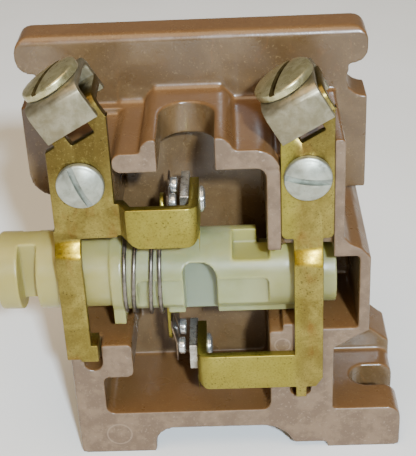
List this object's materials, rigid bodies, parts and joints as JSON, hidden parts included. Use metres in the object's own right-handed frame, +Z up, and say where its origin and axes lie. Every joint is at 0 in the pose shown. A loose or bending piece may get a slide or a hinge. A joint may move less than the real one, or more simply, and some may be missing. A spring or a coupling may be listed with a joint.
{
  "type": "electrical contact block",
  "caption": "Open-fronted moulded contact block with wire-clamp terminals and a push plunger whose spring-loaded bridge closes two fixed contacts.",
  "frame": {"origin": "centre of the round end of the fixing slot in the foot lug, in the plane of the feet", "axes": "+X along the plunger towards the foot lug, +Y from the open parting face into the moulding, +Z up from the feet to the rail"},
  "size_m": [0.0702, 0.0304, 0.0764],
  "materials": {
    "phenolic": "moulded brown phenolic, glossy with dull parting faces",
    "strip_brass": "stamped brass, aged and speckled",
    "insert_brass": "turned brass",
    "zinc_screw": "zinc plated",
    "zinc_clamp": "zinc plated, worn",
    "nickel_screw": "nickel plated, yellowed",
    "silver": "silver alloy, tarnished",
    "nylon": "translucent cream nylon",
    "spring_steel": "drawn music wire",
    "bridge_steel": "plated steel",
    "leaf_copper": "rolled copper"
  },
  "bodies": {
    "housing": {"housing": "phenolic", "left_insert": "insert_brass", "right_insert": "insert_brass", "left_terminal": "strip_brass", "right_terminal": "strip_brass", "left_terminal_screw": "zinc_screw", "right_terminal_screw": "zinc_screw", "upper_fixed_contact": "silver", "lower_fixed_contact": "silver", "upper_contact_rivet": "silver", "lower_contact_rivet": "silver"},
    "plunger": {"plunger": "nylon", "contact_spring": "spring_steel"},
    "contact_bridge": {"bridge_bar": "bridge_steel", "contact_leaf": "leaf_copper", "bridge_rivet": "insert_brass", "upper_studs": "silver", "lower_studs": "silver"},
    "left_clamp": {"left_clamp": "zinc_clamp"},
    "right_clamp": {"right_clamp": "zinc_clamp"},
    "left_clamp_screw": {"left_clamp_screw": "nickel_screw"},
    "right_clamp_screw": {"right_clamp_screw": "nickel_screw"}
  },
  "joints": [
    {"name": "plunger_slide", "type": "slide", "parent": "housing", "child": "plunger", "axis": [1, 0, 0], "range_m": [0, 0.0032], "stiffness_N_per_m": 220, "deforming": ["contact_spring"]},
    {"name": "bridge_slide", "type": "slide", "parent": "housing", "child": "contact_bridge", "axis": [1, 0, 0], "range_m": [0, 0.00069]},
    {"name": "left_clamp_slide", "type": "slide", "parent": "housing", "child": "left_clamp", "axis": [-0.5, 0, 0.866], "range_m": [-0.002, 0.001]},
    {"name": "left_clamp_turn", "type": "hinge", "parent": "left_clamp", "child": "left_clamp_screw", "pos_m": [-0.05155, -0.0057, 0.07244], "axis": [-0.5, 0, 0.866], "range_deg": [-682, 342]},
    {"name": "right_clamp_slide", "type": "slide", "parent": "housing", "child": "right_clamp", "axis": [-0.5, 0, 0.866], "range_m": [-0.0004, 0.002]},
    {"name": "right_clamp_turn", "type": "hinge", "parent": "right_clamp", "child": "right_clamp_screw", "pos_m": [-0.0147, -0.0057, 0.07097], "axis": [-0.5, 0, 0.866], "range_deg": [-138, 682]}
  ],
  "couplings": [
    {"joint": "bridge_slide", "follows": "plunger_slide", "ratio": 0.215},
    {"joint": "left_clamp_turn", "follows": "left_clamp_slide", "rad_per_m": 5938.8},
    {"joint": "right_clamp_turn", "follows": "right_clamp_slide", "rad_per_m": 5938.8}
  ]
}
